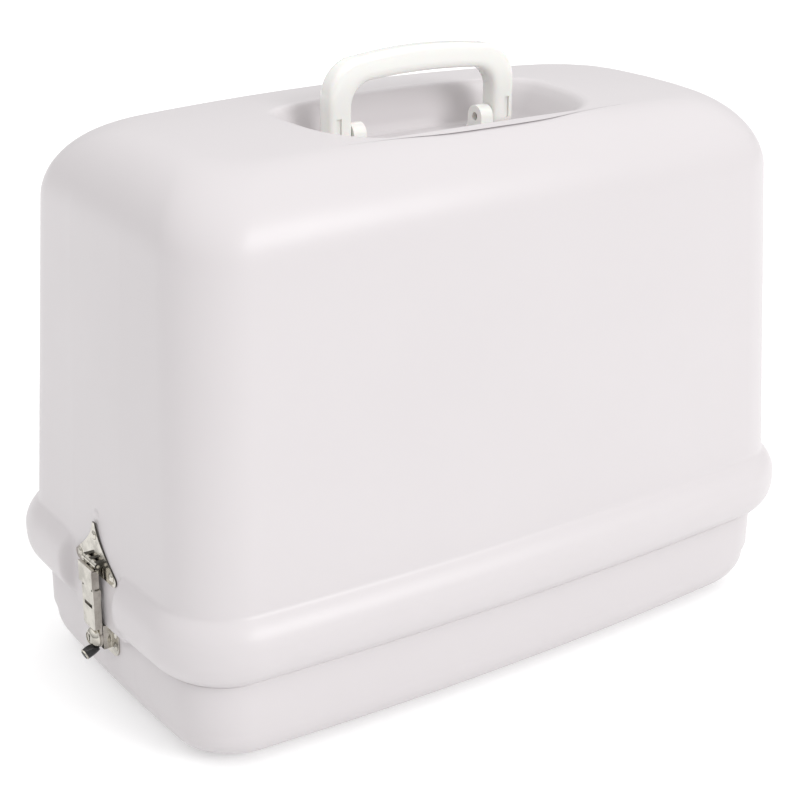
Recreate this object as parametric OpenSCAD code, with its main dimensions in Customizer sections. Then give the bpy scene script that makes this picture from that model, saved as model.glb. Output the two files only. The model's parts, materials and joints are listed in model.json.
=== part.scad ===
// Hard carrying case for a sewing machine: a tray, a lift-off cover, a folding
// handle in a recess and a keyed hasp latch on each end.
// Millimetres, +Z up, origin on the resting surface under the middle of the tray.
// X runs along the length and Y along the depth.

/* [Case] */
// Length over the cover's end walls
case_len = 450; // [360:1:560]
// Depth over the middle of the cover's front and back walls
case_dep = 244; // [210:1:300]
// Height of the middle of the cover's top
case_h = 343; // [280:1:430]
// Wall thickness of the cover and the tray
wall = 3; // [2.4:0.1:4]
// Radius of the upright corners
corner_r = 36; // [24:1:48]
// Radius of the cover's top edges
top_r = 40; // [24:1:42]
// Taper of the cover's walls from the rim to the top, on each side
cover_draft = 12.5; // [2:0.5:15]
// Outward bow of the front and back walls
side_bow = 9; // [2:0.5:12]
// Outward bow of the end walls
end_bow = 3; // [0:0.5:6]
// Rise of the top's middle over its edges, lengthwise and crosswise alike
crown = 8; // [0:0.5:10]

/* [Rim] */
// Height of the parting line between the tray and the cover
part_z = 58; // [50:1:72]
// Height of the rounded rim band on the cover
rim_h = 44; // [38:1:52]
// How far the rim band stands proud of the cover's wall
rim_proud = 9; // [4:0.5:12]
// Half width of the flat pad that interrupts the rim band at each latch
pad_half = 30; // [26:1:36]
// Step back of the tray's wall from the cover's wall
tray_step = 4.5; // [4.2:0.1:6]
// Height of the tray's tongue inside the cover
tongue_h = 14; // [8:1:20]
// Gap between the tongue and the cover's inner lip
tongue_gap = 0.6; // [0.4:0.1:1.5]
// Radius of the tray's bottom edge
tray_r = 26; // [16:1:30]
// Height of the stiffening ribs on the tray's floor
rib_h = 7; // [4:1:12]

/* [Recess and handle] */
// Half length of the handle recess
dish_len = 92; // [88:1:110]
// Reach of the recess in front of the handle's pivot, where the handle folds
dish_front = 72; // [70:1:80]
// Reach of the recess behind the handle's pivot
dish_back = 30; // [28:1:36]
// Depth of the recess below the middle of the top
dish_deep = 26.5; // [24:0.5:32]
// Width of the handle over its legs
grip_w = 135; // [128:1:142]
// Reach of the handle from its pivot to the top of the bar
grip_reach = 45.5; // [40:0.5:47]
// Extra rise of the middle of the bar
grip_rise = 3; // [0:0.5:3]
// Width of each leg
leg_w = 16; // [12:0.5:20]
// Height of the bar
bar_h = 14; // [10:0.5:16]
// Thickness of the handle from front to back
grip_t = 14; // [10:0.5:15]
// Height of the handle's pivot over the recess floor
pivot_up = 9.5; // [9:0.5:12]
// Radius of the handle's pins
grip_pin_r = 2.5; // [1.5:0.1:3]

/* [Latch] */
// Half width of the hasp link
hasp_half = 8.75; // [7.25:0.25:10.5]
// Thickness of the pressed metal
metal = 1; // [0.8:0.1:1.2]
// How far the hasp's face stands out from the cover's pad
hasp_out = 8; // [7.6:0.2:10]
// Height of the hinge that carries the hasp
hinge_z = 98; // [94:0.5:102]
// Height of the lower edge of the hasp link
link_z = 84; // [80:0.5:87]
// Height of the lock's centre
lock_z = 49; // [47:0.5:50]
// Radius of the hinge knuckles
knuckle_r = 2.2; // [1.8:0.1:2.6]
// Radius of the hinge pins of the latch
latch_pin_r = 1; // [0.8:0.1:1.2]
// Half width of the plate on the tray
plate_half = 15; // [13:0.5:18]
// Radius of the lock's plug
plug_r = 3.4; // [2.8:0.1:3.8]

/* [Fits] */
// Radial clearance of every running pin
run_gap = 0.05; // [0.03:0.01:0.1]
// Gap between pieces that move past each other
move_gap = 0.4; // [0.3:0.05:0.6]

/* [Hidden] */
$fn = 40;

// Half sizes of the cover's outline at its corners
out_a = case_len / 2 - end_bow;
out_b = case_dep / 2 - side_bow;
rim_top = part_z + rim_h;
// Height where the rim band is widest, as a share of its height
rim_wide = part_z + 0.61 * rim_h;
// Flat run of an end wall from its middle to a corner's start
end_run = out_b - corner_r;
// Stations along that run, as shares of it: the pad, its two blend steps and a plain one
pad_blend = 6;
end_steps = [0, pad_half / end_run, (pad_half + pad_blend / 2) / end_run,
    (pad_half + pad_blend) / end_run, 0.5 * (1 + (pad_half + pad_blend) / end_run)];
corner_n = 7;
side_n = 10;
// Upright corner radius at the top's flat
corner_top_r = corner_r - 6;

floor_z = case_h - dish_deep;
pivot_z = floor_z + pivot_up;
grip_half = grip_w / 2;
// Inner face of each leg, and the block beside it
leg_in = grip_half - leg_w;
block_w = 9;
block_x = leg_in - move_gap - block_w;
screw_r = 2;
screw_y = 5;

// Latch places along X, measured from the middle of the case
pad_x = case_len / 2;
tray_x = pad_x - tray_step;
face_x = pad_x + hasp_out;
hinge_x = pad_x + metal + knuckle_r + move_gap / 2;
lever_half = hasp_half - metal - 0.15;
lever_face_x = face_x - metal - 0.1;
// Lever pivot: as far below the link's edge as its face is out from the pivot
lever_pivot_x = lever_face_x - 2.9;
lever_pivot_z = link_z - 3.4;
keeper_out = 6;
keeper_x = tray_x + keeper_out;
keeper_half = lever_half - metal - 0.4;
strike_half = 26;
strike_low = hinge_z - 8;
strike_top = hinge_z + 24;
rivet_r = 1.6;
rivet_head_r = 3;
rivet_head_h = 1.1;
backing_t = 1.2;
cam_half = keeper_half - metal - 0.6;

function sgn(v) = v < 0 ? -1 : 1;

// ---- Outline of the case: rounded oblong whose four sides bow outwards ----
// Each point is [x, y, m], where m is 0 on the latch pads and 1 off them.
function end_line(a, b, r, sx, sy) = [
    for (i = [0 : len(end_steps) - 1]) let (y = sy * end_steps[i] * (b - r))
        [sx * a, y, i < 2 ? 0 : i == 2 ? 0.5 : 1]
];
function rev(v) = [for (i = [len(v) - 1 : -1 : 0]) v[i]];
function tail(v) = [for (i = [1 : len(v) - 1]) v[i]];
function corner(a, b, r, sx, sy, a0) = [
    for (k = [0 : corner_n]) let (t = a0 + 90 * k / corner_n)
        [sx * (a - r) + r * cos(t), sy * (b - r) + r * sin(t), 1]
];
function side_line(a, b, r, sy) = [
    for (k = [1 : side_n - 1]) [sy * (a - r) * (1 - 2 * k / side_n), sy * b, 1]
];
function oblong(a, b, r) = concat(
    end_line(a, b, r, 1, 1), corner(a, b, r, 1, 1, 0), side_line(a, b, r, 1),
    corner(a, b, r, -1, 1, 90), rev(end_line(a, b, r, -1, 1)),
    tail(end_line(a, b, r, -1, -1)), corner(a, b, r, -1, -1, 180), side_line(a, b, r, -1),
    corner(a, b, r, 1, -1, 270), rev(tail(end_line(a, b, r, 1, -1)))
);
// Outline grown by g, or by pad_g on the pads, with its bows
function outline(g, r, pad_g) = [
    for (p = oblong(out_a + g, out_b + g, r))
        let (on_end = abs(p[0]) > out_a + g - 0.01,
             sx = on_end && p[2] < 1 ? (pad_g - g) * (1 - p[2]) : 0,
             bow_x = on_end && p[2] == 0 ? end_bow
                 : end_bow * (1 - pow(p[1] / (out_b + g), 2)) * abs(p[0]) / (out_a + g),
             bow_y = side_bow * (1 - pow(p[0] / (out_a + g), 2)) * abs(p[1]) / (out_b + g))
        [p[0] + sgn(p[0]) * (sx + bow_x), p[1] + sgn(p[1]) * bow_y]
];
function level(pts, z) = [for (p = pts) [p[0], p[1], z]];

// ---- Closed skin through a list of rings, closed by a fan at each end ----
module skin(rings) {
    n = len(rings[0]);
    m = len(rings);
    first = [0, 0, rings[0][0][2]];
    last = [0, 0, rings[m - 1][0][2]];
    polyhedron(
        points = concat([for (r = rings) for (p = r) p], [first, last]),
        faces = concat(
            [for (j = [0 : m - 2]) for (i = [0 : n - 1]) let (k = (i + 1) % n)
                [j * n + i, (j + 1) * n + i, j * n + k]],
            [for (j = [0 : m - 2]) for (i = [0 : n - 1]) let (k = (i + 1) % n)
                [j * n + k, (j + 1) * n + i, (j + 1) * n + k]],
            [for (i = [0 : n - 1]) [m * n, i, (i + 1) % n]],
            [for (i = [0 : n - 1]) [m * n + 1, (m - 1) * n + (i + 1) % n, (m - 1) * n + i]]
        ),
        convexity = 8
    );
}

// ---- Cover ----
// How far the rim band stands out at height z
function rim_at(z) = z >= rim_top ? 0
    : z >= rim_wide ? rim_proud * (1 - pow((z - rim_wide) / (rim_top - rim_wide), 2))
    : rim_proud - (rim_proud + tray_step - 0.3) * pow((rim_wide - z) / (rim_wide - part_z), 2.8);
rim_levels = [0, 0.04, 0.1, 0.2, 0.34, 0.5, 0.66, 0.78, 0.88, 0.95, 1];
inner_levels = [0, 0.1, 0.3, 0.6, 0.85, 1];
// Height of the crowned top over a point
function top_z(x, y) = case_h
    - crown * (pow(x / (case_len / 2), 2) + pow(y / (case_dep / 2), 2));
function draft_at(z) = cover_draft * max(0, z - rim_top) / (case_h - rim_top);
// Ring of the rounded top edge, t from 0 at the wall to 90 at the flat, cut back by w
function edge_ring(t, w) =
    let (in = (top_r - w) * (1 - cos(t)), drop = (top_r - w) * (1 - sin(t)) + w,
         z0 = case_h - crown - top_r + (top_r - w) * sin(t), g = -draft_at(z0) - in - w,
         pts = outline(g, corner_r - w - (corner_r - corner_top_r) * sin(t), g))
    [for (p = pts) [p[0], p[1], top_z(p[0], p[1]) - drop]];
// Recess: superellipse rings at share q of its size, sunk by the share s of its depth
dish_power = 3;
dish_steps = [[1.08, 0], [1.05, 0.03], [1.02, 0.1], [0.98, 0.26], [0.93, 0.52],
    [0.88, 0.78], [0.83, 0.95], [0.79, 1], [0.42, 1]];
inner_dish = [[1.08, 0], [1.02, 0.1], [0.93, 0.52], [0.83, 0.95], [0.42, 1]];
function dish_ring(q, s, w) = [
    for (p = oblong(out_a, out_b, corner_r))
        let (c = p[0] / out_a, d = p[1] / out_b,
             k = q / pow(pow(abs(c), dish_power) + pow(abs(d), dish_power), 1 / dish_power),
             x = (dish_len + w) * c * k, y = ((d < 0 ? dish_front : dish_back) + w) * d * k)
        [x, y, (1 - s) * (top_z(x, y) - w) + s * (floor_z - w)]
];
// Half way ring on the flat between the rounded edge and the recess
function flat_ring(w) =
    let (p = edge_ring(90, w), q = dish_ring(dish_steps[0][0], 0, w))
    [for (i = [0 : len(p) - 1]) let (x = (p[i][0] + q[i][0]) / 2, y = (p[i][1] + q[i][1]) / 2)
        [x, y, top_z(x, y) - w]];
// Rings of one side of the shell from the parting line to the recess, w inside the outside
function cover_rings(w, levels, edge_n, dish) = concat(
    [for (u = levels) let (z = part_z + u * rim_h, g = rim_at(z) - w)
        level(outline(g, corner_r + g, w > 0 && u == 0 ? g : -w), z)],
    [for (k = [0 : edge_n]) edge_ring(90 * k / edge_n, w)],
    [flat_ring(w)],
    [for (s = dish) dish_ring(s[0], s[1], w)]
);
module cover_shell() {
    color("gainsboro")
    difference() {
        union() {
            skin(concat(rev(cover_rings(wall, inner_levels, 5, inner_dish)),
                cover_rings(0, rim_levels, 7, dish_steps)));
            for (s = [-1, 1]) end_of(s) nub();
        }
        for (s = [-1, 1]) end_of(s) {
            for (p = strike_holes) translate([pad_x - 2 * wall, p[0], p[1]])
                rotate([0, 90, 0]) cylinder(h = 4 * wall, r = rivet_r + run_gap);
        }
        for (s = [-1, 1]) for (y = [-screw_y, screw_y])
            translate([s * (block_x + block_w / 2), y, floor_z - 2 * wall])
                cylinder(h = 3 * wall, r = screw_r + 0.2);
    }
}
// Small moulded bump over the strike plate's point
module nub() {
    translate([pad_x - wall, 0, strike_top + 4])
        rotate([0, 90, 0]) cylinder(h = wall + 1, r1 = 3.6, r2 = 2.4);
}
// Mirrors a latch built at +X to either end
module end_of(s) {
    mirror([s < 0 ? 1 : 0, 0, 0]) children();
}

// ---- Tray ----
function tray_ring(g, r, z) = level(outline(g, r, g), z);
tray_g = -tray_step;
lip_g = -tray_step + 0.3 - wall - tongue_gap;
tongue_z = part_z + tongue_h;
tray_n = 7;
module base_tray() {
    tray_draft = 1.5;
    outer = [for (k = [0 : tray_n]) let (t = 90 - 90 * k / tray_n, in = tray_r * (1 - cos(t)))
        tray_ring(tray_g - tray_draft - in, corner_r + tray_g - in * 0.2, tray_r * (1 - sin(t)))];
    inner = [for (k = [0 : tray_n]) let (t = 90 * k / tray_n, q = tray_r - wall, in = q * (1 - cos(t)))
        tray_ring(tray_g - tray_draft - wall - in, corner_r + tray_g - wall - in * 0.2,
            wall + q * (1 - sin(t)))];
    color("gainsboro")
    difference() {
        union() {
            skin(concat(outer,
                [tray_ring(tray_g, corner_r + tray_g, tray_r + 6),
                 tray_ring(tray_g, corner_r + tray_g, part_z),
                 tray_ring(lip_g, corner_r + lip_g, part_z),
                 tray_ring(lip_g, corner_r + lip_g, tongue_z - 1),
                 tray_ring(lip_g - 1, corner_r + lip_g - 1, tongue_z),
                 tray_ring(lip_g - wall + 0.4, corner_r + lip_g - wall, tongue_z),
                 tray_ring(lip_g - wall + 0.4, corner_r + lip_g - wall, part_z - 6)],
                inner));
            tray_ribs();
        }
        for (s = [-1, 1]) end_of(s)
            for (p = keeper_holes) translate([tray_x - 5 * wall, p[0], p[1]])
                rotate([0, 90, 0]) cylinder(h = 6 * wall, r = rivet_r + run_gap);
    }
}
rib_t = 2.5;
// Long and cross ribs that stiffen the floor and keep the machine's foot off it
module tray_ribs() {
    long = 2 * (out_a - 70);
    cross = 2 * (out_b - 55);
    for (y = [-1, 1]) translate([-long / 2, y * cross / 3 - rib_t / 2, wall / 2])
        cube([long, rib_t, rib_h + wall / 2]);
    for (x = [-1, 0, 1]) translate([x * long / 2.6 - rib_t / 2, -cross / 2, wall / 2])
        cube([rib_t, cross, rib_h + wall / 2]);
}

// ---- Handle ----
arc_n = 8;
function arc(cx, cz, r, a0, a1) = [
    for (k = [0 : arc_n]) let (t = a0 + (a1 - a0) * k / arc_n) [cx + r * cos(t), cz + r * sin(t)]
];
// Crowned line of the bar between two corner centres
function crest(half, z, rise) = [
    for (k = [1 : arc_n - 1]) let (x = half * (1 - 2 * k / arc_n)) [x, z + rise * (1 - pow(x / half, 2))]
];
grip_r = 24;
bow_r = 15;
module grip_outline() {
    foot_z = pivot_z - grip_t / 2;
    top = pivot_z + grip_reach;
    under = top - bar_h;
    polygon(concat(
        [[grip_half, foot_z]],
        arc(grip_half - grip_r, top - grip_r, grip_r, 0, 90),
        crest(grip_half - grip_r, top, grip_rise),
        arc(grip_r - grip_half, top - grip_r, grip_r, 90, 180),
        [[-grip_half, foot_z], [-leg_in, foot_z]],
        arc(bow_r - leg_in, under - bow_r, bow_r, 180, 90),
        rev(crest(leg_in - bow_r, under, grip_rise / 2)),
        arc(leg_in - bow_r, under - bow_r, bow_r, 90, 0),
        [[leg_in, foot_z]]
    ));
}
module handle_grip() {
    notch = [3.4, 2.6, 13];
    color("whitesmoke")
    difference() {
        intersection() {
            rotate([90, 0, 0]) linear_extrude(height = grip_t, center = true) grip_outline();
            union() {
                translate([0, 0, pivot_z]) rotate([0, 90, 0])
                    cylinder(h = grip_w + 2, r = grip_t / 2, center = true);
                translate([-grip_half - 1, -grip_t / 2, pivot_z])
                    cube([grip_w + 2, grip_t, grip_reach + grip_rise + 1]);
            }
        }
        for (s = [-1, 1]) {
            translate([s > 0 ? leg_in - 1 : -leg_in - leg_w + 5, 0, pivot_z]) rotate([0, 90, 0])
                cylinder(h = leg_w - 4, r = grip_pin_r + run_gap);
            for (f = [-1, 1]) translate([s * (leg_in + leg_w * 0.62), f * (grip_t / 2), pivot_z + 5])
                cube(notch, center = true);
        }
    }
}
module handle_block(s) {
    half = 7;
    color("whitesmoke")
    difference() {
        union() {
            translate([s * block_x + (s < 0 ? -block_w : 0), 0, pivot_z]) rotate([0, 90, 0])
                cylinder(h = block_w, r = half);
            translate([s * block_x + (s < 0 ? -block_w : 0), -half - 1.5, floor_z])
                cube([block_w, 2 * half + 3, 3]);
            translate([s * block_x + (s < 0 ? -block_w : 0), -half, floor_z])
                cube([block_w, 2 * half, pivot_up]);
        }
        translate([s * block_x + (s < 0 ? -block_w : 0) - 1, 0, pivot_z]) rotate([0, 90, 0])
            cylinder(h = block_w + 2, r = grip_pin_r);
        for (y = [-screw_y, screw_y])
            translate([s * (block_x + block_w / 2), y, floor_z - 1])
                cylinder(h = 1 + screw_in, r = screw_r);
    }
}
screw_in = pivot_up - grip_pin_r - 1;
module handle_block_left() handle_block(-1);
module handle_block_right() handle_block(1);
// Pin pressed in the block and running in the leg, sunk in the block's bore
pin_sink = 3;
module handle_pin(s) {
    color("silver")
    mirror([s < 0 ? 1 : 0, 0, 0])
    translate([block_x + pin_sink, 0, pivot_z]) rotate([0, 90, 0])
        cylinder(h = block_w - pin_sink + move_gap + leg_w - 5.5, r = grip_pin_r);
}
module handle_pin_left() handle_pin(-1);
module handle_pin_right() handle_pin(1);
// Steel strip under the recess floor that takes the load of both blocks
module handle_backing_plate() {
    half_x = block_x + block_w + 8;
    color("darkgray")
    translate([0, 0, floor_z - wall - backing_t])
    difference() {
        translate([-half_x, -9, 0]) cube([2 * half_x, 18, backing_t]);
        for (s = [-1, 1]) for (y = [-screw_y, screw_y])
            translate([s * (block_x + block_w / 2), y, -1]) cylinder(h = backing_t + 2, r = screw_r + 0.2);
    }
}
module handle_screws() {
    color("silver")
    for (s = [-1, 1]) for (y = [-screw_y, screw_y])
        translate([s * (block_x + block_w / 2), y, floor_z - wall - backing_t]) {
            cylinder(h = wall + backing_t + screw_in - 0.5, r = screw_r);
            difference() {
                translate([0, 0, -2.4]) cylinder(h = 2.4, r1 = 2.8, r2 = 3.6);
                translate([-0.5, -4, -3]) cube([1, 8, 1.6]);
            }
        }
}

// ---- Latch: strike plate with hinge, hasp link, lever, lock and keeper ----
strike_holes = [[0, strike_top - 8], [5.5 - strike_half, strike_low + 5.5],
    [strike_half - 5.5, strike_low + 5.5]];
keeper_holes = [for (y = [-1, 1], z = [5, 13.5]) [y * (plate_half - 4), part_z - z]];
knuckle_n = 5;
knuckle_len = 2 * hasp_half / knuckle_n;
// Tube knuckles along Y that have the given parity
module knuckles(odd) {
    for (k = [0 : knuckle_n - 1]) if (k % 2 == odd)
        translate([0, -hasp_half + k * knuckle_len + (k == 0 ? 0 : 0.1), 0]) rotate([-90, 0, 0])
            difference() {
                cylinder(h = knuckle_len - (k == 0 || k == knuckle_n - 1 ? 0.1 : 0.2), r = knuckle_r);
                translate([0, 0, -1]) cylinder(h = knuckle_len + 2,
                    r = latch_pin_r + (odd == 1 ? run_gap : 0));
            }
}
// Shield outline, in [y, z], with its point up
module shield(half, low, high) {
    polygon(concat(
        [[-half + 4, low], [half - 4, low]],
        [for (k = [0 : arc_n]) let (t = -90 + 110 * k / arc_n)
            [half - 4 + 4 * cos(t), low + 4 + 4 * sin(t)]],
        [for (k = [1 : arc_n]) let (u = k / arc_n)
            [(half - 0.2) * pow(1 - u, 1.6) + 1.5 * u, low + 6 + (high - low - 6) * u]],
        [for (k = [arc_n : -1 : 1]) let (u = k / arc_n)
            [-(half - 0.2) * pow(1 - u, 1.6) - 1.5 * u, low + 6 + (high - low - 6) * u]],
        [for (k = [arc_n : -1 : 0]) let (t = -90 + 110 * k / arc_n)
            [-half + 4 - 4 * cos(t), low + 4 + 4 * sin(t)]]
    ));
}
// Extrudes a [y, z] outline along X, from x to x + h
module along_x(x, h) {
    translate([x, 0, 0]) rotate([90, 0, 90]) linear_extrude(height = h) children();
}
module strike_plate(s) {
    color("silver")
    end_of(s) difference() {
        union() {
            along_x(pad_x, metal) shield(strike_half, strike_low, strike_top);
            translate([hinge_x, 0, hinge_z]) knuckles(0);
            for (k = [0 : 2 : knuckle_n - 1])
                translate([pad_x, -hasp_half + k * knuckle_len + 0.1, hinge_z])
                    cube([hinge_x - pad_x, knuckle_len - 0.2, knuckle_r]);
        }
        translate([hinge_x, 0, hinge_z]) rotate([90, 0, 0])
            cylinder(h = 2 * hasp_half + 2, r = latch_pin_r, center = true);
        for (p = strike_holes) translate([pad_x - 1, p[0], p[1]]) rotate([0, 90, 0])
            cylinder(h = metal + 2, r = rivet_r + run_gap);
    }
}
module strike_plate_left() strike_plate(-1);
module strike_plate_right() strike_plate(1);
// Domed rivet along X, from x_in to x_out under its two heads
module rivet(x_in, x_out) {
    translate([x_in, 0, 0]) rotate([0, 90, 0]) cylinder(h = x_out - x_in, r = rivet_r);
    translate([x_out, 0, 0]) rotate([0, 90, 0]) cylinder(h = rivet_head_h, r1 = rivet_head_r, r2 = 1.6);
    translate([x_in - rivet_head_h, 0, 0]) rotate([0, 90, 0])
        cylinder(h = rivet_head_h, r1 = 1.8, r2 = rivet_head_r);
}
// The backing clears the drafted inner wall at its upper end
strike_back_x = pad_x - wall - draft_at(strike_top) - 0.1 - backing_t;
module strike_rivets() {
    color("silver")
    for (s = [-1, 1]) end_of(s) for (p = strike_holes)
        translate([0, p[0], p[1]]) rivet(strike_back_x, pad_x + metal);
}
module strike_backing(s) {
    color("darkgray")
    end_of(s) difference() {
        along_x(strike_back_x, backing_t)
            shield(strike_half - 1, strike_low + 1, strike_top - 1);
        for (p = strike_holes) translate([pad_x - 3 * wall, p[0], p[1]]) rotate([0, 90, 0])
            cylinder(h = 4 * wall, r = rivet_r + run_gap);
    }
}
module strike_backing_left() strike_backing(-1);
module strike_backing_right() strike_backing(1);
module hasp_pin(s) {
    color("silver")
    end_of(s) translate([hinge_x, 0, hinge_z]) rotate([90, 0, 0])
        cylinder(h = 2 * hasp_half - 0.2, r = latch_pin_r, center = true);
}
module hasp_pin_left() hasp_pin(-1);
module hasp_pin_right() hasp_pin(1);
// Hasp link: a channel that hangs from the hinge and ends at link_z
ear_half = lever_half - metal - 0.2;
ear_r = 1.8;
ear_neck = 1.5;
// Lowest height the lever's upper end never reaches, and the top of the ears' web
sweep_z = link_z + 1.8;
web_top = hinge_z - knuckle_r - move_gap - 0.2;
module hasp_link(s) {
    skirt_x = face_x - skirt_deep;
    color("silver")
    end_of(s) difference() {
        union() {
            translate([hinge_x, 0, hinge_z]) knuckles(1);
            for (k = [1 : 2 : knuckle_n - 1])
                translate([hinge_x, -hasp_half + k * knuckle_len + 0.1, hinge_z - knuckle_r])
                    cube([face_x - hinge_x, knuckle_len - 0.2, metal]);
            // Face, roof and skirts of the channel
            translate([face_x - metal, -hasp_half, link_z])
                cube([metal, 2 * hasp_half, hinge_z - knuckle_r - link_z + metal]);
            translate([hinge_x + knuckle_r + move_gap, -hasp_half, hinge_z - knuckle_r])
                cube([face_x - hinge_x - knuckle_r - move_gap, 2 * hasp_half, metal]);
            for (y = [-hasp_half, hasp_half - metal])
                translate([skirt_x, y, link_z])
                    cube([face_x - skirt_x, metal, hinge_z - knuckle_r - move_gap - link_z]);
            // Web and ears that carry the lever's pin inside the lever
            for (y = [-ear_half, ear_half - metal]) link_ear(y);
            translate([lever_pivot_x - ear_r, -ear_half, sweep_z])
                cube([metal, 2 * ear_half, web_top - sweep_z]);
        }
        translate([lever_pivot_x, 0, lever_pivot_z]) rotate([90, 0, 0])
            cylinder(h = 2 * hasp_half, r = latch_pin_r + run_gap, center = true);
        translate([hinge_x, 0, hinge_z]) rotate([90, 0, 0])
            cylinder(h = 2 * hasp_half + 2, r = latch_pin_r + run_gap, center = true);
    }
}
// Ear: round about the pin, a neck that the turning lever clears, and a wide root
module link_ear(y) {
    translate([lever_pivot_x, y, lever_pivot_z]) rotate([-90, 0, 0]) cylinder(h = metal, r = ear_r);
    translate([lever_pivot_x - ear_r, y, lever_pivot_z])
        cube([ear_neck, metal, web_top - lever_pivot_z]);
    translate([lever_pivot_x - ear_r, y, sweep_z])
        cube([face_x - metal / 2 - lever_pivot_x + ear_r, metal, web_top - sweep_z]);
}
module hasp_link_left() hasp_link(-1);
module hasp_link_right() hasp_link(1);
module lever_pin(s) {
    color("silver")
    end_of(s) translate([lever_pivot_x, 0, lever_pivot_z]) rotate([90, 0, 0])
        cylinder(h = 2 * lever_half, r = latch_pin_r, center = true);
}
module lever_pin_left() lever_pin(-1);
module lever_pin_right() lever_pin(1);
// Lever: a channel from under the link down to the round lock end
lever_top = link_z + 0.5;
skirt_deep = 4.6;
lever_low = lock_z + 8;
boss_r = 7;
skirt_in = keeper_x + move_gap;
boss_x = lever_face_x - 3.4;
rose_rise = 4.6;
module hasp_lever(s) {
    slot_z = link_z - 14;
    color("silver")
    end_of(s) difference() {
        union() {
            translate([lever_face_x - metal, -lever_half, lever_low])
                cube([metal, 2 * lever_half, lever_top - lever_low]);
            for (y = [-ear_half, ear_half - metal])
                translate([skirt_in, y, lever_low + 1])
                    cube([lever_face_x - skirt_in, metal, lever_pivot_z - ear_r - 1.5 - lever_low]);
            for (y = [-lever_half, lever_half - metal]) {
                translate([face_x - skirt_deep, y, lever_low])
                    cube([lever_face_x - face_x + skirt_deep, metal, lever_pivot_z - lever_low]);
                translate([lever_pivot_x - 2, y, lever_pivot_z - 4])
                    cube([lever_face_x - lever_pivot_x + 2, metal, 5.5]);
            }
            translate([skirt_in, 0, lock_z]) rotate([0, 90, 0])
                cylinder(h = boss_x - skirt_in, r = boss_r);
            translate([skirt_in, -boss_r + 1, lock_z]) cube([boss_x - skirt_in, 2 * boss_r - 2, 9]);
            translate([boss_x - metal, -boss_r + 1, lever_low - 1])
                cube([lever_face_x - boss_x + metal, 2 * boss_r - 2, metal]);
        }
        translate([skirt_in - 1, 0, lock_z]) rotate([0, 90, 0]) cylinder(h = 12, r = plug_r + run_gap);
        translate([lever_pivot_x, 0, lever_pivot_z]) rotate([90, 0, 0])
            cylinder(h = 2 * lever_half + 1, r = latch_pin_r, center = true);
        translate([lever_face_x - 2, -5, slot_z]) cube([4, 10, 2.4]);
        // Slots in the upper edge that the link's ears turn through
        for (y = [-ear_half - 0.2, ear_half - metal - 0.3])
            translate([lever_face_x - metal - 0.2, y, lever_pivot_z + 1])
                cube([metal + 1, metal + 0.5, lever_top - lever_pivot_z]);
    }
}
module hasp_lever_left() hasp_lever(-1);
module hasp_lever_right() hasp_lever(1);
// Finger tab below the lock, flared outwards and down
module thumb_tab(s) {
    tab_out = 10;
    tab_half = 3.5;
    tilt = 24;
    color("dimgray")
    end_of(s) difference() {
        translate([skirt_in + 1, 0, lock_z - boss_r + 0.5]) rotate([0, 90 + tilt, 0])
            cylinder(h = tab_out, r = tab_half);
        translate([skirt_in - 6, 0, lock_z]) rotate([0, 90, 0])
            cylinder(h = 20, r = boss_r);
        translate([skirt_in - 6, -8, lock_z - 20]) cube([6, 16, 30]);
        translate([skirt_in, -8, lock_z]) cube([12, 16, 10]);
    }
}
module thumb_tab_left() thumb_tab(-1);
module thumb_tab_right() thumb_tab(1);
// Domed ring round the plug, turned about the lock's axis
module lock_rose(s) {
    color("silver")
    end_of(s) translate([boss_x, 0, lock_z]) rotate([0, 90, 0])
        rotate_extrude() polygon(concat(
            [[plug_r + run_gap, 0], [boss_r - 0.4, 0]],
            [for (k = [0 : arc_n]) let (t = 90 * k / arc_n)
                [plug_r + run_gap + 0.2 + (boss_r - plug_r - run_gap - 0.6) * cos(t), 0.4 + (rose_rise - 0.4) * sin(t)]],
            [[plug_r + run_gap, rose_rise]]
        ));
}
module lock_rose_left() lock_rose(-1);
module lock_rose_right() lock_rose(1);
cam_x = tray_x + metal + 1.6;
cam_t = 1.2;
module lock_plug(s) {
    front = boss_x + rose_rise - 0.4;
    color("silver")
    end_of(s) difference() {
        translate([cam_x + cam_t, 0, lock_z]) rotate([0, 90, 0]) union() {
            cylinder(h = front - cam_x - cam_t, r = 1.6);
            translate([0, 0, skirt_in + 0.2 - cam_x - cam_t])
                cylinder(h = front - skirt_in - 0.2, r = plug_r);
        }
        translate([front - 1.4, -0.6, lock_z - 2.4]) cube([3, 1.2, 4]);
        translate([front - 1.4, 0, lock_z + 1.4]) rotate([0, 90, 0]) cylinder(h = 3, r = 1.1);
    }
}
module lock_plug_left() lock_plug(-1);
module lock_plug_right() lock_plug(1);
// Cam upright when unlocked; turned a quarter it lies behind the keeper's lips
module lock_cam(s) {
    color("darkgray")
    end_of(s) translate([cam_x, -1.8, lock_z - cam_half]) cube([cam_t, 3.6, 2 * cam_half]);
}
module lock_cam_left() lock_cam(-1);
module lock_cam_right() lock_cam(1);
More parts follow.
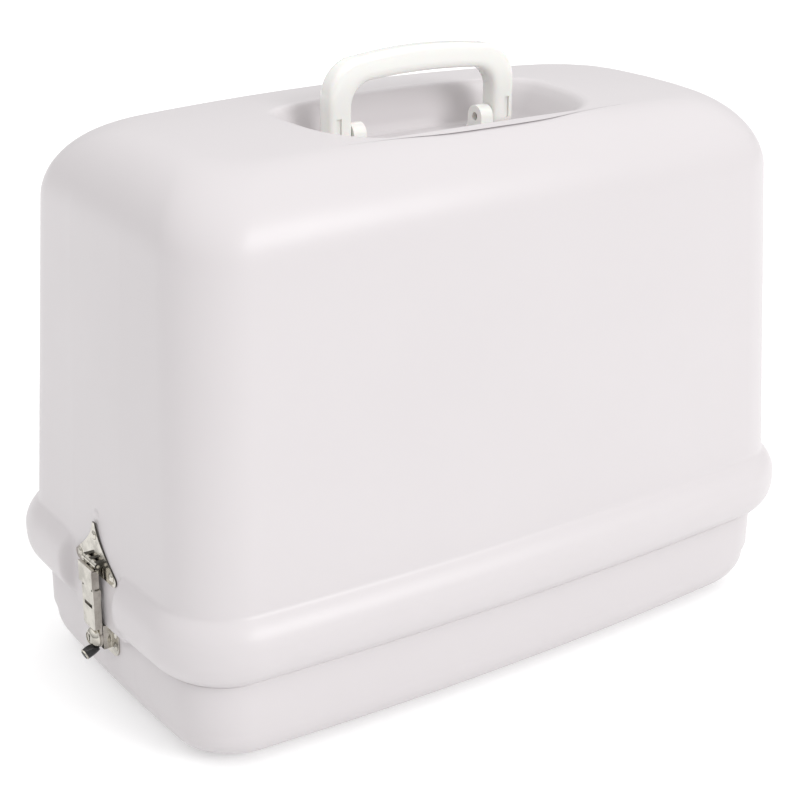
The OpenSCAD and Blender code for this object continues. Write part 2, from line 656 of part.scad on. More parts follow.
// Plate on the tray with a raised keeper box whose slot is open at the top
keeper_low = lock_z - cam_half - 2.4;
keeper_top = part_z - 0.6;
plate_low = part_z - 20;
module keeper_plate(s) {
    gap = 2.6;
    color("silver")
    end_of(s) difference() {
        union() {
            along_x(tray_x, metal) plate_outline();
            translate([tray_x, -keeper_half, keeper_low])
                cube([keeper_out, 2 * keeper_half, keeper_top - keeper_low]);
        }
        translate([tray_x + metal, -keeper_half + metal, keeper_low + metal])
            cube([keeper_out - 2 * metal, 2 * (keeper_half - metal), keeper_top - keeper_low - 2 * metal]);
        translate([tray_x + metal, -gap, keeper_low + metal])
            cube([keeper_out, 2 * gap, keeper_top]);
        for (p = keeper_holes) translate([tray_x - 1, p[0], p[1]]) rotate([0, 90, 0])
            cylinder(h = metal + 2, r = rivet_r + run_gap);
    }
}
module plate_outline() {
    r = 6;
    polygon(concat(
        [[plate_half, part_z - 0.6], [-plate_half, part_z - 0.6]],
        [for (k = [0 : arc_n]) let (t = 180 + 90 * k / arc_n)
            [r - plate_half + r * cos(t), plate_low + r + r * sin(t)]],
        [for (k = [0 : arc_n]) let (t = 270 + 90 * k / arc_n)
            [plate_half - r + r * cos(t), plate_low + r + r * sin(t)]]
    ));
}
module keeper_plate_left() keeper_plate(-1);
module keeper_plate_right() keeper_plate(1);
keeper_back_x = pad_x + lip_g - wall + 0.3;
module keeper_rivets() {
    color("silver")
    for (s = [-1, 1]) end_of(s) for (p = keeper_holes)
        translate([0, p[0], p[1]]) rivet(keeper_back_x - backing_t, tray_x + metal);
}
module keeper_backing(s) {
    color("darkgray")
    end_of(s) difference() {
        translate([keeper_back_x - backing_t, -plate_half + 1, plate_low + 1])
            cube([backing_t, 2 * plate_half - 2, part_z - plate_low - 2]);
        for (p = keeper_holes) translate([keeper_back_x - 2 * backing_t, p[0], p[1]]) rotate([0, 90, 0])
            cylinder(h = 4 * backing_t, r = rivet_r + run_gap);
    }
}
module keeper_backing_left() keeper_backing(-1);
module keeper_backing_right() keeper_backing(1);

base_tray();
cover_shell();
handle_grip();
handle_block_left();
handle_block_right();
handle_pin_left();
handle_pin_right();
handle_backing_plate();
handle_screws();
strike_plate_left();
strike_plate_right();
strike_rivets();
strike_backing_left();
strike_backing_right();
hasp_pin_left();
hasp_pin_right();
hasp_link_left();
hasp_link_right();
lever_pin_left();
lever_pin_right();
hasp_lever_left();
hasp_lever_right();
thumb_tab_left();
thumb_tab_right();
lock_rose_left();
lock_rose_right();
lock_plug_left();
lock_plug_right();
lock_cam_left();
lock_cam_right();
keeper_plate_left();
keeper_plate_right();
keeper_rivets();
keeper_backing_left();
keeper_backing_right();
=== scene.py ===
"""Hard carrying case for a sewing machine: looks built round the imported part."""
import json
import math

import bmesh
import bpy
import numpy as np
from mathutils import Matrix, Vector


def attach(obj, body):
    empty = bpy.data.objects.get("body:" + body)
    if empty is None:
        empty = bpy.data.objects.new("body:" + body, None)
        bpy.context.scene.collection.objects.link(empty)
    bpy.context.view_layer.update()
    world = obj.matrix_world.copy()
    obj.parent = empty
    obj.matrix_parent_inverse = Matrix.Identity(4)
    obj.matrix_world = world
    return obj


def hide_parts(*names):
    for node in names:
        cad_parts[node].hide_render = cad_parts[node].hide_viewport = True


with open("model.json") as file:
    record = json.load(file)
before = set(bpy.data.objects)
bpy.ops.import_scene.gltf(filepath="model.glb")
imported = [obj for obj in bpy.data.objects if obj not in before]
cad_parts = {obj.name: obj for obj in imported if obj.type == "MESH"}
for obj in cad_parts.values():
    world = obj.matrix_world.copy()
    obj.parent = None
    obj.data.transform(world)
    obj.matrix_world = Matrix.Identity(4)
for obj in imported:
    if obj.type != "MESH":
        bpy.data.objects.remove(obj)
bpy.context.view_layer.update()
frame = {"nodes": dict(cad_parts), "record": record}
nodes = frame["nodes"]
MM = 0.001

# Sizes of the case in millimetres, as in the part's source
CASE_LEN, CASE_DEP, CASE_H, WALL = 450, 244, 343, 3
CORNER_R, TOP_R, DRAFT, SIDE_BOW, END_BOW, CROWN = 36, 40, 12.5, 9, 3, 8
# The finer curve of the looks is pulled in this much, so it stays inside the part
TUCK = 0.12
PART_Z, RIM_H, RIM_PROUD, PAD_HALF = 58, 44, 9, 30
TRAY_STEP, TONGUE_H, TONGUE_GAP, TRAY_R = 4.5, 14, 0.6, 26
DISH_LEN, DISH_FRONT, DISH_BACK, DISH_DEEP = 92, 72, 30, 26.5
GRIP_HALF, GRIP_REACH, GRIP_RISE, LEG_W, BAR_H, GRIP_T = 67.5, 45.5, 3, 16, 14, 14
PIVOT_UP = 9.5
OUT_A = CASE_LEN / 2 - END_BOW
OUT_B = CASE_DEP / 2 - SIDE_BOW
RIM_TOP = PART_Z + RIM_H
RIM_WIDE = PART_Z + 0.61 * RIM_H
END_RUN = OUT_B - CORNER_R
FLOOR_Z = CASE_H - DISH_DEEP
PIVOT_Z = FLOOR_Z + PIVOT_UP
PAD_X = CASE_LEN / 2


# ---------------------------------------------------------------- materials
class Value:
    """An output socket, with arithmetic that adds Math nodes."""

    def __init__(self, graph, socket):
        self.graph, self.socket = graph, socket

    def _math(self, operation, a, b):
        return self.graph.add("ShaderNodeMath", {"operation": operation}, {0: a, 1: b})

    def __add__(self, other):
        return self._math("ADD", self, other)

    def __sub__(self, other):
        return self._math("SUBTRACT", self, other)

    def __mul__(self, other):
        return self._math("MULTIPLY", self, other)

    __radd__ = __add__


class Graph:
    """A node tree in which every further node comes from one method."""

    def __init__(self, tree):
        self.tree = tree

    def add(self, kind, settings=None, sockets=None, out=0):
        node = self.tree.nodes.new(kind)
        for key, value in (settings or {}).items():
            if key == "stops":
                ramp = node.color_ramp.elements
                while len(ramp) < len(value):
                    ramp.new(0.5)
                for stop, (place, colour) in zip(ramp, value):
                    stop.position, stop.color = place, (*colour, 1)
            else:
                setattr(node, key, value)
        for key, value in (sockets or {}).items():
            self.put(node.inputs[key], value)
        return Value(self, node.outputs[out])

    def put(self, socket, value):
        if isinstance(value, Value):
            self.tree.links.new(value.socket, socket)
        else:
            socket.default_value = value


class Finish(Graph):
    """A material built round its Principled shader."""

    def __init__(self, name, **constants):
        self.material = bpy.data.materials.new(name)
        self.material.use_nodes = True
        super().__init__(self.material.node_tree)
        self.shader = self.tree.nodes["Principled BSDF"]
        for socket, value in constants.items():
            self.shader.inputs[socket.replace("_", " ")].default_value = value

    def place(self):
        return self.add("ShaderNodeTexCoord", out="Object")

    def noise(self, scale, detail=2.0, rough=0.5, stretch=(1, 1, 1)):
        where = self.add("ShaderNodeMapping", {}, {"Vector": self.place(), "Scale": stretch})
        return self.add("ShaderNodeTexNoise", {}, {"Vector": where, "Scale": scale,
                        "Detail": detail, "Roughness": rough}, "Fac")

    def spread(self, value, low, high, to_low, to_high):
        return self.add("ShaderNodeMapRange", {"clamp": True}, {"Value": value, "From Min": low,
                        "From Max": high, "To Min": to_low, "To Max": to_high})

    def mix(self, factor, a, b):
        return self.add("ShaderNodeMix", {"data_type": "RGBA"},
                        {"Factor": factor, "A": a, "B": b}, "Result")

    def bump(self, height, distance, strength=1.0, under=None):
        sockets = {"Height": height, "Distance": distance, "Strength": strength}
        if under:
            sockets["Normal"] = under
        return self.add("ShaderNodeBump", {}, sockets)

    def feed(self, **links):
        for key, value in links.items():
            self.put(self.shader.inputs[key.replace("_", " ")], value)
        return self.material


def moulded(name, colour, shade, roughness, grain, **constants):
    """Moulded plastic: fine grain, slow unevenness and faint flow of colour."""
    f = Finish(name, **constants)
    flow = f.spread(f.noise(9, 3, 0.55), 0.3, 0.7, 0, 1)
    fine = f.noise(2600, 2, 0.6)
    slow = f.noise(14, 2, 0.5)
    scuff = f.spread(f.noise(240, 4, 0.7, (1, 1, 0.15)), 0.62, 0.74, 0, 1)
    lift = f.bump(fine, grain * MM, 0.35, f.bump(slow, 0.25 * MM, 0.25))
    return f.feed(Base_Color=f.mix(flow * 0.5 + scuff * 0.12, colour, shade),
                  Roughness=roughness + (fine - 0.5) * 0.08 + (flow - 0.5) * 0.05 + scuff * 0.06,
                  Normal=lift)


def plated(name, bright, dull, roughness, **constants):
    """Nickel plate over pressed steel: polishing lines, pits and dulled patches."""
    f = Finish(name, Metallic=1.0, **constants)
    patch = f.spread(f.noise(110, 4, 0.6), 0.42, 0.66, 0, 1)
    lines = f.noise(900, 3, 0.6, (1, 1, 0.06))
    pits = f.spread(f.noise(1500, 2, 0.5), 0.66, 0.74, 0, 1)
    lift = f.bump(lines, 0.02 * MM, 0.5, f.bump(f.noise(60, 2, 0.5), 0.4 * MM, 0.35))
    return f.feed(Base_Color=f.mix(patch * 0.45 + pits * 0.3, bright, dull),
                  Roughness=roughness + patch * 0.1 + (lines - 0.5) * 0.1 + pits * 0.15,
                  Normal=lift)


shell_plastic = moulded("shell_plastic", (0.573, 0.544, 0.553, 1), (0.557, 0.528, 0.537, 1),
                        0.40, 0.02, Coat_Weight=0.08, Coat_Roughness=0.25, IOR=1.48)
handle_plastic = moulded("handle_plastic", (0.79, 0.79, 0.76, 1), (0.76, 0.76, 0.73, 1),
                         0.16, 0.008, Subsurface_Weight=0.15, Subsurface_Scale=0.004,
                         Coat_Weight=0.3, Coat_Roughness=0.08, IOR=1.5)
nickel = plated("nickel_plate", (0.58, 0.555, 0.50, 1), (0.17, 0.155, 0.135, 1), 0.09)
steel = plated("plain_steel", (0.58, 0.58, 0.58, 1), (0.40, 0.39, 0.38, 1), 0.32)
# The thumb tab is coloured near black
near_black_tab = moulded("tab_black", (0.006, 0.006, 0.007, 1), (0.012, 0.011, 0.011, 1), 0.3, 0.02,
                      Coat_Weight=0.12, Coat_Roughness=0.15)
# Painted shadow: near-black plated finish for the strike plates' edges, standing for the shade in
# the gap behind each plate
shadow_gap_paint = plated("painted_shadow_edge", (0.10, 0.095, 0.085, 1), (0.04, 0.038, 0.035, 1), 0.3)
FINISH = {"shell": shell_plastic, "handle": handle_plastic, "nickel": nickel, "steel": steel,
          "tab": near_black_tab}
slot_of = {s["node"]: s["material_slot"] for s in frame["record"]["subparts"]}
body_of = {n: b for b, group in frame["record"]["behaviour"]["bodies"].items() for n in group}


# ---------------------------------------------------------------- mesh helpers
# Points nearer than this are merged, in millimetres: after a cut, and in a CAD mesh
CUT_WELD, CAD_WELD = 0.001, 0.004
# Turns in degrees: faces flatter than this are rejoined, edges sharper are rounded
FLAT_TURN, BEVEL_TURN = 1.0, 28


def piece(name, mesh, node, slot=None, sharp=32, bevel=0.0, steps=2):
    """Links a mesh as the visible piece that stands for a CAD node."""
    mesh.shade_smooth()
    mesh.set_sharp_from_angle(angle=math.radians(sharp))
    thing = bpy.data.objects.new(name, mesh)
    bpy.context.scene.collection.objects.link(thing)
    mesh.materials.clear()
    mesh.materials.append(FINISH[slot or slot_of[node]])
    if bevel:
        cut = thing.modifiers.new("edges", "BEVEL")
        cut.width, cut.segments, cut.limit_method = bevel * MM, steps, "ANGLE"
        cut.angle_limit, cut.harden_normals = math.radians(BEVEL_TURN), True
    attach(thing, body_of[node])
    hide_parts(node)
    return thing


def skin(rings):
    """Closed skin through rings of points, each end closed by one face."""
    n, m = len(rings[0]), len(rings)
    mesh = bpy.data.meshes.new("skin")
    points = np.concatenate([np.asarray(r, float) for r in rings]) * MM
    faces = [(j * n + i, j * n + (i + 1) % n, (j + 1) * n + (i + 1) % n, (j + 1) * n + i)
             for j in range(m - 1) for i in range(n)]
    faces += [tuple(range(n)), tuple((m - 1) * n + i for i in range(n))]
    mesh.from_pydata(points.tolist(), [], faces)
    b = bmesh.new()
    b.from_mesh(mesh)
    bmesh.ops.recalc_face_normals(b, faces=b.faces)
    b.to_mesh(mesh)
    b.free()
    return mesh


def joined(meshes):
    """One mesh that holds several closed skins."""
    b = bmesh.new()
    for m in meshes:
        b.from_mesh(m)
    whole = bpy.data.meshes.new("joined")
    b.to_mesh(whole)
    b.free()
    return whole


def turned(profile, at, axis, n=32):
    """Closed skin of rings (radius, distance) about a straight axis from a point."""
    axis = np.array(axis, float) / np.linalg.norm(axis)
    side = np.cross(axis, (0, 1, 0) if abs(axis[1]) < 0.9 else (1, 0, 0))
    side /= np.linalg.norm(side)
    other = np.cross(axis, side)
    a = np.linspace(0, 2 * math.pi, n, endpoint=False)
    spokes = np.outer(np.cos(a), side) + np.outer(np.sin(a), other)
    return skin([np.array(at) + d * axis + r * spokes for r, d in profile])


def bar(low, high, ease=0.8):
    """Closed skin of an upright block whose top edges are eased."""
    (x0, y0, z0), (x1, y1, z1) = low, high
    return skin([[(x0 + e, y0 + e, z), (x1 - e, y0 + e, z),
                  (x1 - e, y1 - e, z), (x0 + e, y1 - e, z)]
                 for e, z in ((0, z0), (0, z1 - ease),
                              (ease * 0.3, z1 - ease * 0.3), (ease, z1))])


def cut_from(mesh, cutters):
    """The mesh with every cutter taken away from it."""
    body = bpy.data.objects.new("body", mesh)
    tool = bpy.data.objects.new("tool", joined(cutters))
    for thing in (body, tool):
        bpy.context.scene.collection.objects.link(thing)
    cut = body.modifiers.new("cut", "BOOLEAN")
    cut.operation, cut.solver, cut.object = "DIFFERENCE", "EXACT", tool
    bpy.context.view_layer.update()
    solved = body.evaluated_get(bpy.context.evaluated_depsgraph_get())
    done = bpy.data.meshes.new_from_object(solved)
    for thing in (body, tool):
        bpy.data.objects.remove(thing)
    b = bmesh.new()
    b.from_mesh(done)
    bmesh.ops.remove_doubles(b, verts=b.verts, dist=CUT_WELD * MM)
    bmesh.ops.dissolve_degenerate(b, edges=b.edges, dist=CUT_WELD * MM)
    b.to_mesh(done)
    b.free()
    return done


def refined(node, bevel, steps=2):
    """Copy of a CAD node with its flat faces rejoined and every edge rounded."""
    mesh = nodes[node].data.copy()
    b = bmesh.new()
    b.from_mesh(mesh)
    bmesh.ops.remove_doubles(b, verts=b.verts, dist=CAD_WELD * MM)
    bmesh.ops.dissolve_limit(b, angle_limit=math.radians(FLAT_TURN), verts=b.verts,
                             edges=b.edges)
    b.to_mesh(mesh)
    b.free()
    return piece(node + "_look", mesh, node, bevel=bevel, steps=steps)


# ---------------------------------------------------------------- outline of the case
CORNER_N, SIDE_N = 18, 44
# Stations along half an end wall, closest where the latch pad eases off
END_STEPS = np.array([0, 5, 10, 15, 20, 25, 28, 30, 31, 32, 33, 34, 35, 36, 39, 44,
                      50, 57, 64, 71]) / END_RUN
PAD_EASE = 6


def smooth(x):
    x = np.clip(x, 0, 1)
    return x * x * (3 - 2 * x)


def oblong(a, b, r):
    """Rounded oblong as x, y and the end flag, once round from the +X end's middle."""
    ys = END_STEPS * (b - r)
    turn = np.radians(90 * np.arange(CORNER_N + 1) / CORNER_N)
    run = 1 - 2 * np.arange(1, SIDE_N) / SIDE_N

    def end(sx, sy):
        return [(sx * a, sy * y, 1) for y in ys]

    def corner(sx, sy, quarter):
        x, y = sx * (a - r), sy * (b - r)
        return [(x + r * math.cos(t + quarter), y + r * math.sin(t + quarter), 0) for t in turn]

    def side(sy):
        return [(sy * (a - r) * u, sy * b, 0) for u in run]

    half = math.pi / 2
    return np.array(end(1, 1) + corner(1, 1, 0) + side(1) + corner(-1, 1, half)
                    + end(-1, 1)[::-1] + end(-1, -1)[1:] + corner(-1, -1, 2 * half) + side(-1)
                    + corner(1, -1, 3 * half) + end(1, -1)[1:][::-1])


def outline(g, r, pad_g):
    """Outline grown by g, or by pad_g on the latch pads, with its bows."""
    a, b = OUT_A + g, OUT_B + g
    p = oblong(a, b, r)
    x, y, end = p.T
    off_pad = np.where(end > 0, smooth((np.abs(y) - PAD_HALF) / PAD_EASE), 1)
    bow_x = END_BOW * (1 - off_pad * (y / b) ** 2) * np.abs(x) / a
    bow_y = (SIDE_BOW - TUCK) * (1 - (x / a) ** 2) * np.abs(y) / b
    out_x = (pad_g - g) * (1 - off_pad) + bow_x
    return np.stack([x + np.sign(x) * out_x, y + np.sign(y) * bow_y], 1)


def level(pts, z):
    return np.column_stack([pts, np.full(len(pts), z)])


# ---------------------------------------------------------------- cover
# The cover's lower edge stands this far outside the tray's wall
EDGE_PROUD = 0.3
# How the rim curls in below its widest level, and blends into the wall above it
RIM_CURL, RIM_SOFT, SOFT_BELOW, RIM_OVER = 2.8, 0.9, 6, 1.06
# The upright corners tighten by this much over the rounded top edge
CORNER_TIGHTEN = 6
# Shares at which rings lie: up the wall, across the top, and inside the recess's floor
WALL_STEPS = (0.03, 0.1, 0.25, 0.4, 0.55, 0.7, 0.82, 0.92, 0.98)
TOP_STEPS = (0.03, 0.15, 0.35, 0.55, 0.75, 0.9, 0.97)
FLOOR_STEPS = (0.77, 0.7, 0.55, 0.35, 0.15)


def rim_at(z):
    """Outward growth of the cover's outline at a height."""
    if z < RIM_WIDE:
        drop = (RIM_WIDE - z) / (RIM_WIDE - PART_Z)
        return RIM_PROUD - (RIM_PROUD + TRAY_STEP - EDGE_PROUD) * drop ** RIM_CURL
    fall = RIM_PROUD * (1 - ((z - RIM_WIDE) / (RIM_TOP - RIM_WIDE)) ** 2)
    if fall >= SOFT_BELOW:
        return fall
    return min(RIM_PROUD, 0.5 * (fall + math.hypot(fall, RIM_SOFT)))


def top_z(x, y):
    return CASE_H - CROWN * ((x / (CASE_LEN / 2)) ** 2 + (y / (CASE_DEP / 2)) ** 2)


def draft_at(z):
    return DRAFT * max(0, z - RIM_TOP) / (CASE_H - RIM_TOP)


def edge_ring(t, w):
    """Ring of the rounded top edge, t from 0 at the wall to 90 degrees at the flat."""
    r, t = TOP_R - w, math.radians(t)
    inset = r * (1 - math.cos(t))
    z0 = CASE_H - CROWN - TOP_R + r * math.sin(t)
    g = -draft_at(z0) - inset - w
    pts = outline(g, CORNER_R - w - CORNER_TIGHTEN * math.sin(t), g)
    return np.column_stack([pts, top_z(pts[:, 0], pts[:, 1]) - r * (1 - math.sin(t)) - w])


# Share of the recess's half size, and the share of its depth reached there
DISH_FORM = [(1.08, 0), (1.05, 0.03), (1.02, 0.1), (0.98, 0.26), (0.93, 0.52), (0.88, 0.78),
             (0.83, 0.95), (0.79, 1)]
DISH_EDGE, DISH_FLAT = DISH_FORM[0][0], DISH_FORM[-1][0]


def dish_ring(q, w):
    share, sink = np.array(DISH_FORM).T
    s = float(np.interp(-q, -share, sink))
    c, d = (oblong(OUT_A, OUT_B, CORNER_R)[:, :2] / (OUT_A, OUT_B)).T
    k = q / (np.abs(c) ** 3 + np.abs(d) ** 3) ** (1 / 3)
    x, y = (DISH_LEN + w) * c * k, (np.where(d < 0, DISH_FRONT, DISH_BACK) + w) * d * k
    return np.column_stack([x, y, (1 - s) * (top_z(x, y) - w) + s * (FLOOR_Z - w)])


def between(a, b, t, w):
    xy = (1 - t) * a[:, :2] + t * b[:, :2]
    return np.column_stack([xy, top_z(xy[:, 0], xy[:, 1]) - w])


def cover_rings(w, rim_n, edge_n, dish_n):
    rings = []
    for u in np.linspace(0, 1, rim_n):
        z = PART_Z + u * RIM_H * RIM_OVER
        g = rim_at(z) - w
        pad = g if w and u == 0 else -w
        rings.append(level(outline(g - draft_at(z), CORNER_R + g, pad - draft_at(z)), z))
    wall, first = rings[-1], edge_ring(0, w)
    rings += [wall * (1 - t) + first * t for t in WALL_STEPS]
    rings += [edge_ring(90 * k / edge_n, w) for k in range(edge_n + 1)]
    rim = dish_ring(DISH_EDGE, w)
    rings += [between(rings[-1], rim, t, w) for t in TOP_STEPS]
    rings += [dish_ring(q, w) for q in np.linspace(DISH_EDGE, DISH_FLAT, dish_n)]
    rings += [dish_ring(q, w) for q in FLOOR_STEPS]
    return rings


outer = cover_rings(0, 40, 20, 26)
inner = cover_rings(WALL, 14, 8, 10)
# Small moulded bump over the point of each strike plate, as radius and height
HINGE_Z, PLATE_RISE, NUB_RISE = 98, 24, 4
NUB_Z = HINGE_Z + PLATE_RISE + NUB_RISE
NUB = [(4.6, -3), (4.6, -0.35), (4.1, -0.1), (3.5, 0.3), (2.9, 0.68), (2.2, 0.9), (1.1, 0.99)]
nubs = [turned(NUB, (s * (PAD_X - draft_at(NUB_Z)), 0, NUB_Z), (s, 0, 0)) for s in (-1, 1)]
piece("cover", joined([skin(inner[::-1] + outer)] + nubs), "cover_shell", sharp=40)

# ---------------------------------------------------------------- tray
TRAY_G, TRAY_DRAFT = -TRAY_STEP, 1.5
LIP_G = -TRAY_STEP + EDGE_PROUD - WALL - TONGUE_GAP


def tray_ring(g, r, z):
    return level(outline(g, r, g), z)


def tray_foot(w, n):
    q = TRAY_R - w
    rings = []
    for t in np.radians(90 - 90 * np.arange(n + 1) / n):
        inset = q * (1 - math.cos(t))
        rings.append(tray_ring(TRAY_G - TRAY_DRAFT - w - inset, CORNER_R + TRAY_G - w - inset * 0.2,
                               w + q * (1 - math.sin(t))))
    return rings


def tray_wall(stations):
    return [tray_ring(g, CORNER_R + r, z) for g, r, z in stations]


tongue = PART_Z + TONGUE_H
deep = LIP_G - WALL + 0.4
# Each station is the outline's growth, its corners' growth and a height
tray_rings = tray_foot(0, 18) + tray_wall(
    [(TRAY_G, TRAY_G, TRAY_R + 6), (TRAY_G, TRAY_G, 45), (TRAY_G, TRAY_G, PART_Z - 1.2),
     (TRAY_G - 0.25, TRAY_G - 0.25, PART_Z - 0.5), (TRAY_G - 0.9, TRAY_G - 0.9, PART_Z - 0.05),
     (LIP_G, LIP_G, PART_Z), (LIP_G, LIP_G, tongue - 1), (LIP_G - 1, LIP_G - 1, tongue),
     (deep, LIP_G - WALL, tongue), (deep, LIP_G - WALL, PART_Z - 6)]) + tray_foot(WALL, 10)[::-1]
# Floor ribs: their size, how far they stop from the walls, and where they lie
RIB_T, RIB_H, RIB_END, RIB_SIDE = 2.5, 7, 70, 55
LONG, CROSS = 2 * (OUT_A - RIB_END), 2 * (OUT_B - RIB_SIDE)
RIB_Y, RIB_X, RIB_LOW, RIB_TOP = CROSS / 3, LONG / 2.6, WALL / 2, WALL + RIB_H
ribs = [bar((-LONG / 2, y - RIB_T / 2, RIB_LOW), (LONG / 2, y + RIB_T / 2, RIB_TOP))
        for y in (-RIB_Y, RIB_Y)]
ribs += [bar((x - RIB_T / 2, -CROSS / 2, RIB_LOW), (x + RIB_T / 2, CROSS / 2, RIB_TOP))
         for x in (-RIB_X, 0, RIB_X)]
piece("tray", joined([skin(tray_rings)] + ribs), "base_tray", sharp=40)

# ---------------------------------------------------------------- handle
# Radii of the outer and inner bends, and how squared the section is
BEND_OUT, BEND_IN, SQUARED = 24, 15, 4.4
# Square of the section's least half thickness
THIN = 0.6
# Bore for each pin, then each leg slot's place, half sizes and ends about the pivot
BORE_R, BORE_SHORT = 2.55, 5
SLOT_AT, SLOT_HALF, SLOT_DEEP, SLOT_LOW, SLOT_TOP = 0.62, 1.7, 1.3, 1.5, 11.5


def handle_mesh():
    """Arch swept with a rounded section; the feet are round about the pivot."""
    leg_in = GRIP_HALF - LEG_W
    top = PIVOT_Z + GRIP_REACH
    foot = PIVOT_Z - GRIP_T / 2
    lift = [foot + (GRIP_T / 2) * (1 - math.cos(t)) for t in np.linspace(0, math.pi / 2, 10)]
    pairs = [((GRIP_HALF, z), (leg_in, z)) for z in lift]
    for u in np.linspace(0, 1, 8)[1:]:
        pairs.append(((GRIP_HALF, PIVOT_Z + u * (top - BEND_OUT - PIVOT_Z)),
                      (leg_in, PIVOT_Z + u * (top - BAR_H - BEND_IN - PIVOT_Z))))
    for t in np.radians(np.linspace(0, 90, 16))[1:]:
        c, s = math.cos(t), math.sin(t)
        pairs.append(((GRIP_HALF - BEND_OUT + BEND_OUT * c, top - BEND_OUT + BEND_OUT * s),
                      (leg_in - BEND_IN + BEND_IN * c, top - BAR_H - BEND_IN + BEND_IN * s)))
    for u in np.linspace(0, 1, 12)[1:]:
        xo, xi = (GRIP_HALF - BEND_OUT) * (1 - u), (leg_in - BEND_IN) * (1 - u)
        pairs.append(((xo, top + GRIP_RISE * (1 - (1 - u) ** 2)),
                      (xi, top - BAR_H + GRIP_RISE / 2 * (1 - (1 - u) ** 2))))
    pairs += [((-o[0], o[1]), (-i[0], i[1])) for o, i in pairs[-2::-1]]
    rings = []
    for o, i in pairs:
        o, i = np.array(o), np.array(i)
        low = min(0, o[1] - PIVOT_Z)
        thick = math.sqrt(max((GRIP_T / 2) ** 2 - low ** 2, THIN))
        ring = []
        for t in np.linspace(0, 2 * math.pi, 40, endpoint=False):
            c, s = math.cos(t), math.sin(t)
            k = (abs(c) ** SQUARED + abs(s) ** SQUARED) ** (-1 / SQUARED)
            xz = (o + i) / 2 + (o - i) / 2 * c * k
            ring.append((xz[0], thick * s * k, xz[1]))
        rings.append(ring)
    return skin(rings)


def handle_cutters():
    """Pin bores, and the two moulding slots in each leg."""
    inside = GRIP_HALF - LEG_W
    for s in (-1, 1):
        yield turned([(BORE_R, 0), (BORE_R, LEG_W - BORE_SHORT)],
                     (s * (inside - 1), 0, PIVOT_Z), (s, 0, 0))
        x = s * (inside + LEG_W * SLOT_AT)
        for y in (-GRIP_T / 2, GRIP_T / 2):
            yield bar((x - SLOT_HALF, y - SLOT_DEEP, PIVOT_Z - SLOT_LOW),
                      (x + SLOT_HALF, y + SLOT_DEEP, PIVOT_Z + SLOT_TOP), 0.01)


piece("handle", cut_from(handle_mesh(), list(handle_cutters())), "handle_grip", sharp=50)

# ---------------------------------------------------------------- metalwork and small pieces
# The lock's height, its boss's radius and outer face, and its plug's radius
LOCK_Z, BOSS_R, BOSS_X, PLUG_R = 49, 7, 228.5, 3.4
PLUG_GAP, BOSS_GAP = 0.05, 0.02
# Where the tab's axis starts, as X and Z, and how far it leans down
TAB_ROOT, TAB_LEAN = (227.9, LOCK_Z - BOSS_R + 0.5), math.radians(24)
# A strike plate's face counts as its edge, and takes the painted shadow, when its normal's X is
# below this
EDGE_TURN = 0.4
# Radius and height of the lock's round cap, and of the tab's three turned parts
ROSE = [(6.6, 0), (6.75, 0.2), (6.75, 0.7), (6.35, 0.9), (6.2, 1.1), (6.15, 1.5),
        (5.95, 2.2), (5.6, 2.9), (5.1, 3.6), (4.6, 4.1), (4.15, 4.42), (3.8, 4.56), (2.6, 4.58)]
TAB_BARREL = [(2.9, 0.3), (3.2, 1.5), (3.4, 3.0), (3.5, 5.0), (3.48, 7.2), (3.35, 8.4), (3.0, 8.8)]
TAB_COLLAR = [(2.9, 8.2), (3.35, 8.3), (3.5, 8.55), (3.5, 9.1), (3.3, 9.4), (2.8, 9.45)]
TAB_CAP = [(2.75, 9.0), (2.75, 9.55), (2.5, 9.8), (1.8, 9.93), (0.9, 9.98)]


def lock_pieces(side, s):
    """Domed cap round the plug, and the barrel tab with its bright collar."""
    face, out = (s * BOSS_X, 0, LOCK_Z), (s, 0, 0)
    plug = turned([(PLUG_R + PLUG_GAP, -1), (PLUG_R + PLUG_GAP, 6)], face, out, 48)
    cap = cut_from(turned(ROSE, face, out, 48), [plug])
    piece("lock_cap_" + side, cap, "lock_rose_" + side, sharp=35)
    lean = (s * math.cos(TAB_LEAN), 0, -math.sin(TAB_LEAN))
    for name, form, slot in (("tab_", TAB_BARREL, "tab"), ("tab_collar_", TAB_COLLAR, "nickel"),
                             ("tab_end_", TAB_CAP, "tab")):
        boss = turned([(BOSS_R + BOSS_GAP, -8), (BOSS_R + BOSS_GAP, 14)], face, out, 64)
        mesh = cut_from(turned(form, (s * TAB_ROOT[0], 0, TAB_ROOT[1]), lean), [boss])
        piece(name + side, mesh, "thumb_tab_" + side, slot, sharp=40)


for side, s in (("left", -1), ("right", 1)):
    lock_pieces(side, s)
    refined("handle_block_" + side, 0.6)
    plate = refined("strike_plate_" + side, 0.25)
    # Painted shadow: the plate's edge faces take the dark finish for the shade in the gap behind
    # the plate
    plate.data.materials.append(shadow_gap_paint)
    for face in plate.data.polygons:
        face.material_index = int(abs(face.normal.x) < EDGE_TURN)
    refined("hasp_link_" + side, 0.35, 3)
    refined("hasp_lever_" + side, 0.3, 3)
    refined("lock_plug_" + side, 0.15)
    refined("keeper_plate_" + side, 0.25)
refined("strike_rivets", 0.3, 3)
refined("keeper_rivets", 0.3, 3)
for name, node in nodes.items():
    node.data.materials.clear()
    node.data.materials.append(FINISH[slot_of[name]])

# ---------------------------------------------------------------- stage, light and camera
FLOOR_HALF = 30
# Tone of the sky by the Z of the direction it is seen in
SKY = [(0, (0.2, 0.2, 0.2)), (0.55, (0.49, 0.49, 0.49)), (1, (0.78, 0.78, 0.78))]


def toward(azimuth, height):
    """Unit vector out from the middle at an azimuth and height in degrees."""
    a, e = math.radians(azimuth), math.radians(height)
    return Vector((math.sin(a) * math.cos(e), -math.cos(a) * math.cos(e), math.sin(e)))


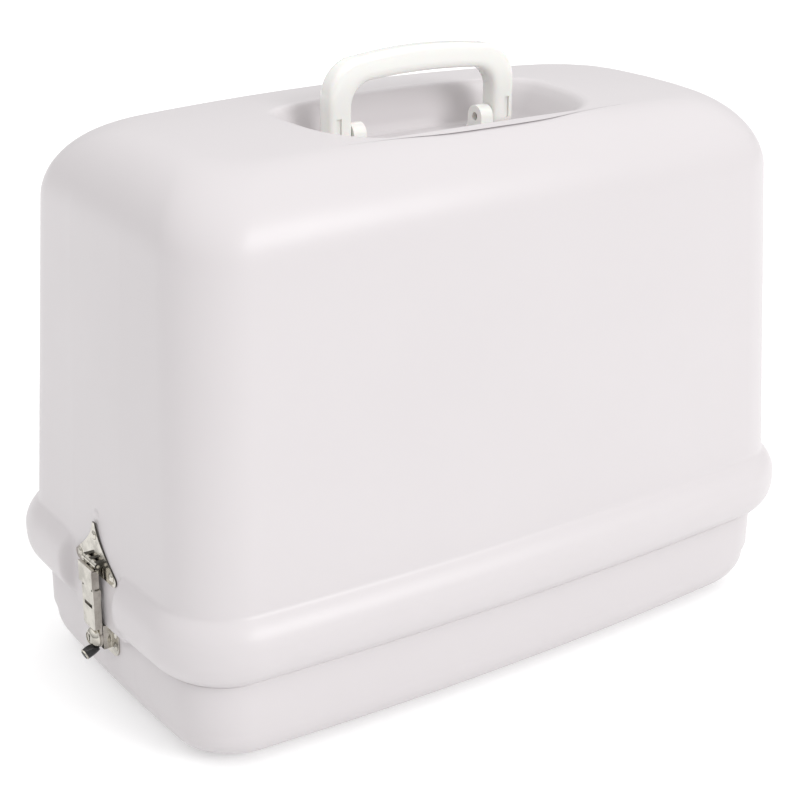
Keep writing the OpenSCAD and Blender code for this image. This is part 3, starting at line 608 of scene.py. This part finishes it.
def studio():
    floor = Finish("floor_paper", Roughness=0.9, Emission_Color=(1, 1, 1, 1),
                   Emission_Strength=0.30)
    tint = floor.spread(floor.noise(3, 2, 0.5), 0, 1, 0, 1)
    floor.feed(Base_Color=floor.mix(tint, (0.72, 0.72, 0.72, 1), (0.74, 0.74, 0.74, 1)))
    mesh = bpy.data.meshes.new("floor")
    h = FLOOR_HALF
    mesh.from_pydata([(-h, -h, 0), (h, -h, 0), (h, h, 0), (-h, h, 0)], [], [(0, 1, 2, 3)])
    mesh.materials.append(floor.material)
    ground = bpy.data.objects.new("floor", mesh)
    bpy.context.scene.collection.objects.link(ground)

    world = bpy.data.worlds.new("studio")
    bpy.context.scene.world = world
    world.use_nodes = True
    sky = Graph(world.node_tree)
    where = sky.add("ShaderNodeTexCoord", out="Generated")
    rise = sky.add("ShaderNodeSeparateXYZ", {}, {0: where}, "Z")
    tone = sky.add("ShaderNodeValToRGB", {"stops": SKY}, {0: rise}, "Color")
    back = sky.tree.nodes["Background"]
    sky.put(back.inputs["Color"], tone)
    sky.put(back.inputs["Strength"], 2.1)

    data = bpy.data.lights.new("key", "SUN")
    data.energy, data.angle = 1.22, math.radians(25)
    lamp = bpy.data.objects.new("key", data)
    bpy.context.scene.collection.objects.link(lamp)
    lamp.rotation_mode = "QUATERNION"
    lamp.rotation_quaternion = (-toward(20, 28)).to_track_quat("-Z", "Y")


def camera():
    back, roll = toward(-35.66, 21.16), math.radians(0.76)
    right = Vector((0, 0, 1)).cross(back).normalized()
    up = back.cross(right)
    tilted = right * math.cos(roll) + up * math.sin(roll)
    data = bpy.data.cameras.new("camera")
    data.lens, data.sensor_width = 76.6, 36
    data.shift_x, data.shift_y = -0.0193, -0.0253
    data.clip_start, data.clip_end = 0.05, 100
    seat = bpy.data.objects.new("camera", data)
    bpy.context.scene.collection.objects.link(seat)
    seat.matrix_world = Matrix.Translation(Vector((0, 0, 0.1613)) + back * 1.0834) @ Matrix(
        (tilted, back.cross(tilted), back)).transposed().to_4x4()
    bpy.context.scene.camera = seat


studio()
camera()
bpy.context.scene.view_settings.view_transform = "Standard"
